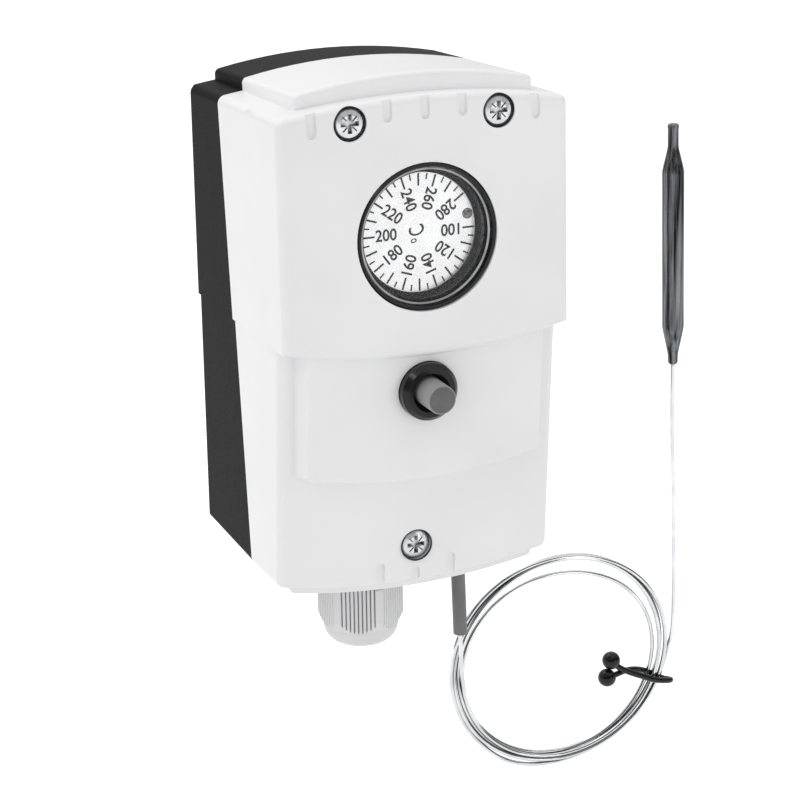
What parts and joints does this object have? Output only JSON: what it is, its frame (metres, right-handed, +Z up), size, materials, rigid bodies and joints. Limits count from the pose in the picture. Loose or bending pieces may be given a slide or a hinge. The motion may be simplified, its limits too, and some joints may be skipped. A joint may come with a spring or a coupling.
{
  "type": "capillary thermostat",
  "caption": "Wall-mounted capillary thermostat with a round dial window, manual reset button, cable gland and a coiled capillary tube with sensor bulb.",
  "frame": {"origin": "on the wall face, on the centre line, level with the housing's lower corners", "axes": "+Y into the wall, +Z up, +X to the right seen from the front, which faces -Y"},
  "size_m": [0.1374, 0.0713, 0.2105],
  "materials": {
    "white_abs": "fine satin moulded",
    "black_abs": "fine spark-eroded grain",
    "black_gloss": "satin moulded",
    "clear_pc": "clear polished",
    "scale_aluminium": "brushed, printed",
    "natural_pa": "moulded",
    "gland_pa": "moulded light grey",
    "button_pa": "moulded grey",
    "zinc_steel": "bright zinc plated",
    "stainless": "drawn bright",
    "bulb_steel": "dark drawn",
    "brass": "turned",
    "phenolic": "moulded",
    "seal_rubber": "moulded",
    "sleeve_pvc": "extruded",
    "tie_pvc": "coated wire"
  },
  "bodies": {
    "housing": {"rear_housing": "black_abs", "front_cover": "white_abs", "housing_gasket": "seal_rubber", "window_ring": "black_gloss", "window_lens": "clear_pc", "mechanism_frame": "zinc_steel", "spindle_bush": "brass", "diaphragm_capsule": "stainless", "pressure_plate": "zinc_steel", "range_spring": "zinc_steel", "switch_block": "phenolic", "switch_pin": "natural_pa", "terminal_clamps": "brass", "terminal_screws": "zinc_steel", "earth_terminal": "brass", "frame_screws": "zinc_steel", "cover_screws": "zinc_steel", "reset_collar": "black_gloss", "collar_nut": "black_gloss", "reset_spring": "zinc_steel", "gland_body": "black_gloss", "gland_washer": "seal_rubber", "gland_locknut": "gland_pa", "gland_insert": "seal_rubber", "gland_nut": "gland_pa", "capillary_inner": "stainless", "capillary_lead": "stainless", "capillary_rise": "stainless", "capillary_sleeve": "sleeve_pvc", "capillary_coil": "stainless", "sensor_bulb": "bulb_steel", "coil_tie": "tie_pvc"},
    "dial_set": {"dial": "scale_aluminium", "dial_hub": "natural_pa", "dial_stop_pin": "zinc_steel", "setting_spindle": "zinc_steel"},
    "nut": {"setting_nut": "brass"},
    "reset": {"reset_button": "button_pa", "reset_plunger": "natural_pa"}
  },
  "joints": [
    {"name": "dial_turn", "type": "hinge", "parent": "housing", "child": "dial_set", "pos_m": [0, -0.045, 0.0847], "axis": [0, -1, 0], "range_deg": [-270, 54]},
    {"name": "nut_travel", "type": "slide", "parent": "housing", "child": "nut", "axis": [0, -1, 0], "range_m": [-0.0003, 0.0015], "deforming": ["range_spring"]},
    {"name": "reset_press", "type": "slide", "parent": "housing", "child": "reset", "axis": [0, 1, 0], "range_m": [0, 0.003], "stiffness_N_per_m": 500, "springref_m": -0.002, "deforming": ["reset_spring"]}
  ],
  "couplings": [
    {"joint": "dial_turn", "follows": "nut_travel", "rad_per_m": -3141.6}
  ]
}
